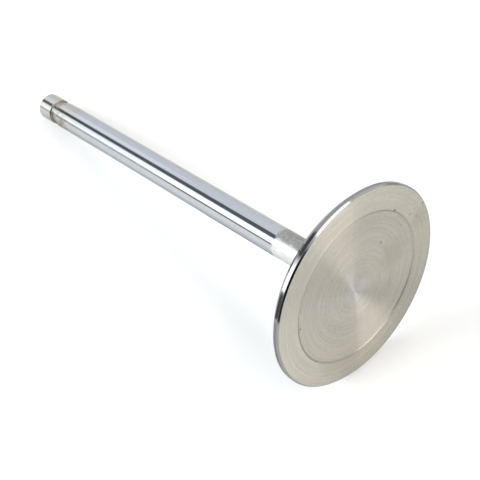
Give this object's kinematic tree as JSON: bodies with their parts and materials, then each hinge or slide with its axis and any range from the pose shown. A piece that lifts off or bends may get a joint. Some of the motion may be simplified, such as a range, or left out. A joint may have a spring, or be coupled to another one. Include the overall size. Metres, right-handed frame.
{
  "type": "engine valve",
  "caption": "Engine inlet valve: wide flat head with a shallow recess in its face and an angled seat, sweeping into a long plain stem with a collet groove near the tip.",
  "frame": {"origin": "centre of the head's face, in the plane of the flat outer ring that the valve stands on", "axes": "+Z along the stem, from the head towards the tip; the valve is round about Z, so X and Y are free"},
  "size_m": [0.055, 0.055, 0.1325],
  "materials": {
    "valve_steel": "turned stainless steel head with fine rings, satin neck, and a polished hard-chromed stem"
  },
  "bodies": {
    "root": {"valve": "valve_steel"}
  },
  "joints": []
}
